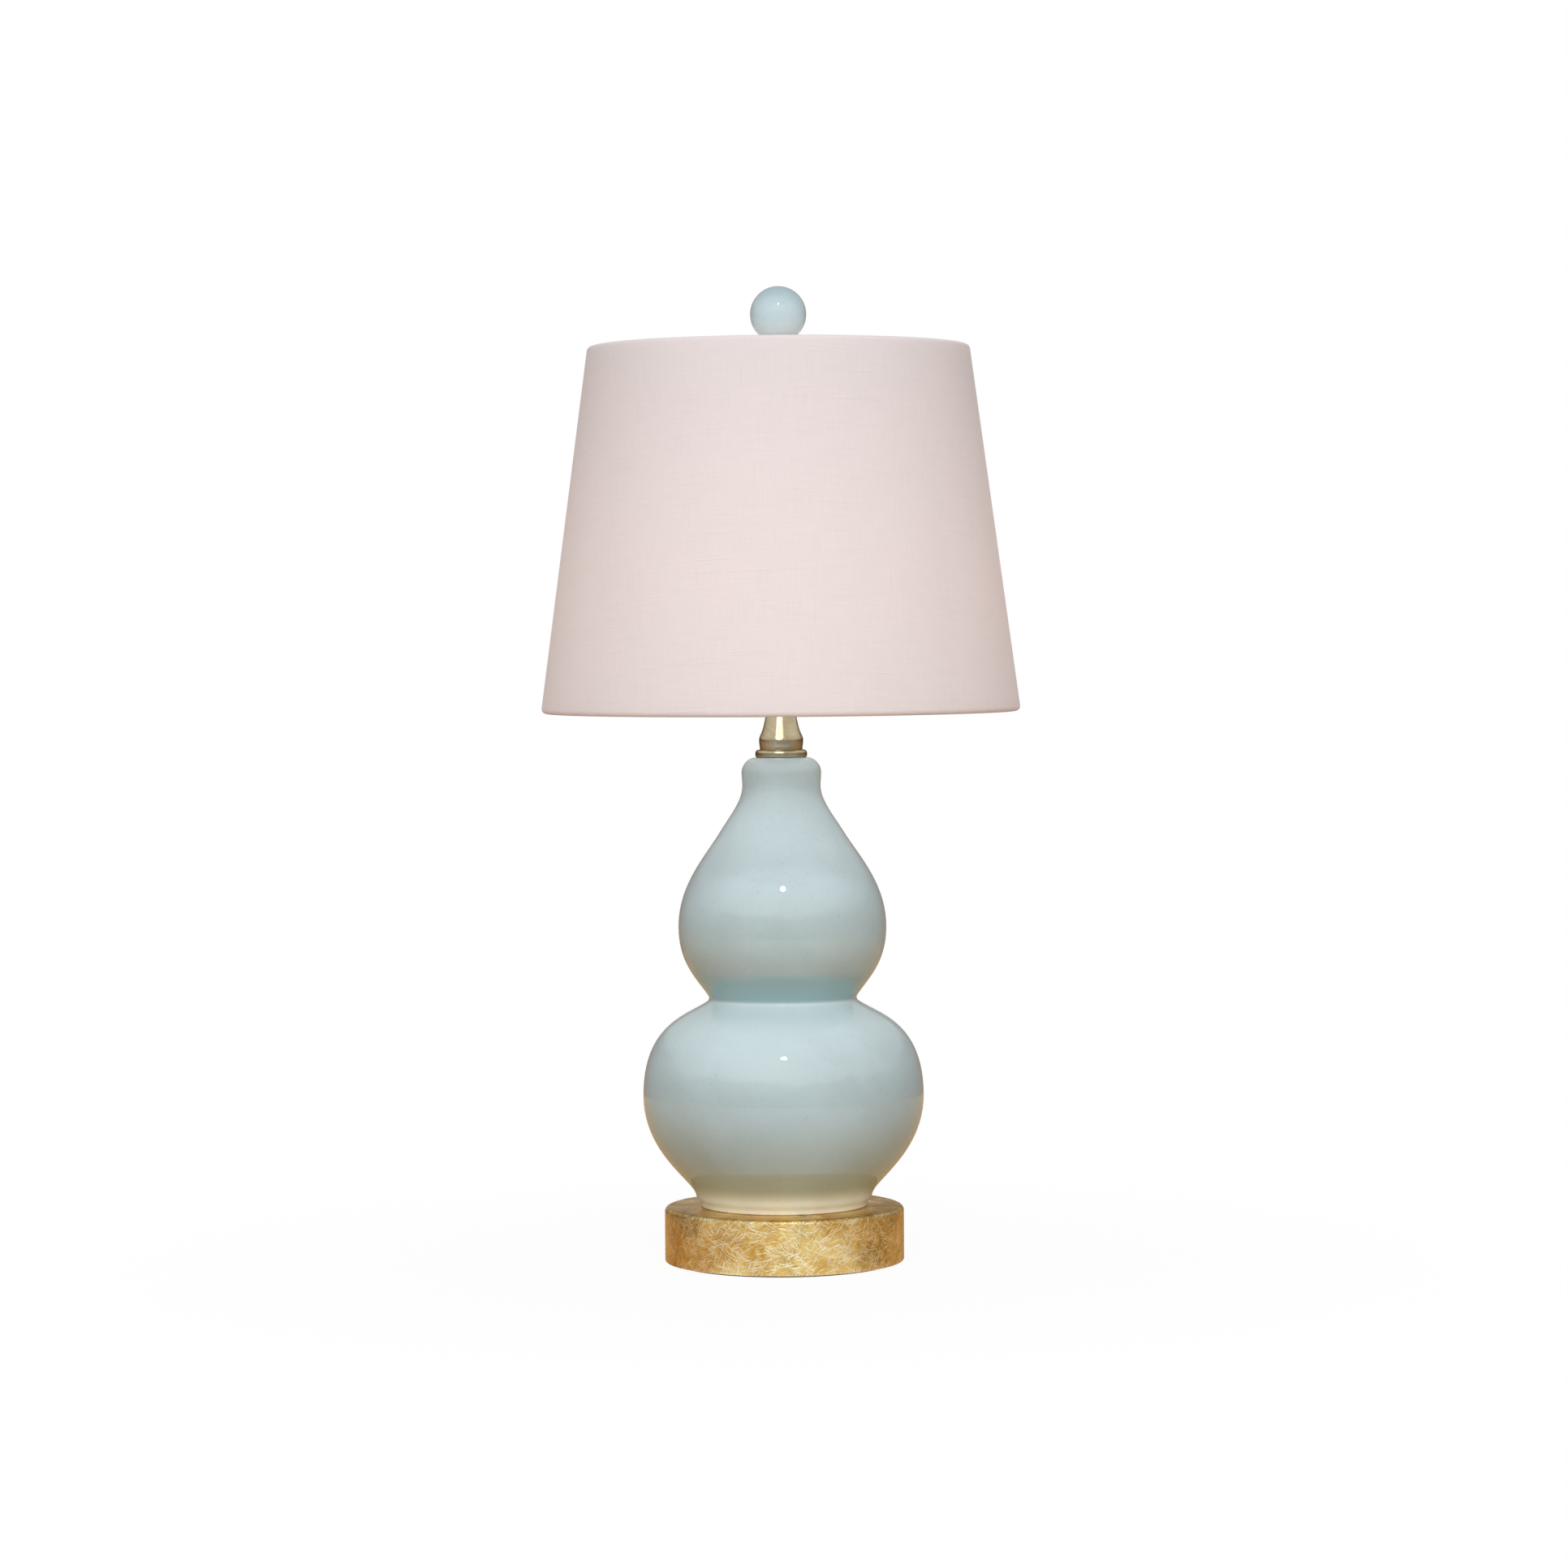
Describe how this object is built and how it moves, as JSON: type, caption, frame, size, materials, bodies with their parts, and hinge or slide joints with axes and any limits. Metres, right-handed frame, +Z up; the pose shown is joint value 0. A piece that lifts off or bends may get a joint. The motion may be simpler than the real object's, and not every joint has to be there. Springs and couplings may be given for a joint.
{
  "type": "table lamp",
  "caption": "Glazed double-gourd table lamp on a round gilded plinth, with a tapered linen drum shade on a harp and a ball finial.",
  "frame": {"origin": "centre of the felt pad's underside, on the surface that the lamp stands on", "axes": "+Z up along the lamp's axis, +Y to the back where the cord goes in, -Y to the front where the switch knob is, +X to the right along the plane of the harp"},
  "size_m": [0.254, 0.254, 0.5191],
  "materials": {
    "celadon_glaze": "pale aqua celadon glaze, high gloss, pooling darker at the waist",
    "gold_leaf": "gilded turned wood, gold leaf with fine scratches",
    "satin_brass": "polished brass, lightly aged",
    "linen": "off-white woven linen, laminated",
    "white_liner": "white styrene-coated paper liner",
    "white_wire": "white painted steel wire",
    "zinc_steel": "zinc-plated steel",
    "black_phenolic": "black moulded phenolic",
    "white_plastic": "white moulded nylon",
    "fibre_card": "grey-brown pressed fibre",
    "felt": "dark green-black felt",
    "frosted_glass": "soft white frosted glass",
    "clear_glass": "clear glass stem",
    "bulb_aluminium": "rolled aluminium",
    "black_glass": "black vitrite insulator",
    "tungsten": "coiled tungsten and nickel leads"
  },
  "bodies": {
    "base": {"felt_pad": "felt", "plinth": "gold_leaf", "cord_inlet_bushing": "black_phenolic", "gourd_body": "celadon_glaze", "lamp_pipe": "zinc_steel", "base_washer": "zinc_steel", "base_nut": "zinc_steel", "vase_cap": "satin_brass", "brass_neck": "satin_brass", "harp_saddle": "satin_brass", "saddle_nut": "satin_brass", "socket_cap": "satin_brass", "cap_set_screw": "zinc_steel", "pipe_mouth_bushing": "white_plastic", "socket_shell": "satin_brass", "socket_fibre_sleeve": "fibre_card", "socket_body": "black_phenolic", "terminal_screws": "satin_brass", "socket_screw_shell": "bulb_aluminium", "socket_contact_leaf": "satin_brass", "switch_blade": "satin_brass"},
    "switch_key": {"switch_rotor": "white_plastic", "switch_shaft": "satin_brass", "switch_knob": "black_phenolic"},
    "bulb": {"bulb_glass": "frosted_glass", "bulb_stem": "clear_glass", "bulb_filament": "tungsten", "bulb_cap": "bulb_aluminium", "bulb_insulator": "black_glass", "bulb_contact": "bulb_aluminium"},
    "harp": {"harp_bow": "satin_brass"},
    "sleeve_left": {"harp_sleeve_left": "satin_brass"},
    "sleeve_right": {"harp_sleeve_right": "satin_brass"},
    "stud": {"harp_stud": "satin_brass"},
    "shade": {"shade_cover": "linen", "shade_liner": "white_liner", "shade_top_ring": "white_wire", "shade_bottom_ring": "white_wire", "shade_spider": "satin_brass"},
    "finial": {"finial_insert": "satin_brass", "finial_ball": "celadon_glaze"}
  },
  "joints": [
    {"name": "switch_turn", "type": "hinge", "parent": "base", "child": "switch_key", "pos_m": [0, 0, 0.3335], "axis": [0, 1, 0], "continuous": true},
    {"name": "bulb_turn", "type": "hinge", "parent": "base", "child": "bulb", "pos_m": [0, 0, 0.358], "axis": [0, 0, 1], "continuous": true},
    {"name": "harp_lift", "type": "slide", "parent": "base", "child": "harp", "axis": [0, 0, 1], "range_m": [0, 0.025]},
    {"name": "left_sleeve_lift", "type": "slide", "parent": "harp", "child": "sleeve_left", "axis": [0, 0, 1], "range_m": [0, 0.012]},
    {"name": "right_sleeve_lift", "type": "slide", "parent": "harp", "child": "sleeve_right", "axis": [0, 0, 1], "range_m": [0, 0.012]},
    {"name": "shade_swivel", "type": "hinge", "parent": "harp", "child": "stud", "pos_m": [0, 0, 0.4771], "axis": [0, 0, 1], "continuous": true},
    {"name": "shade_lift", "type": "slide", "parent": "stud", "child": "shade", "axis": [0, 0, 1], "range_m": [0, 0.22]},
    {"name": "finial_turn", "type": "hinge", "parent": "shade", "child": "finial", "pos_m": [0, 0, 0.485], "axis": [0, 0, 1], "continuous": true}
  ]
}
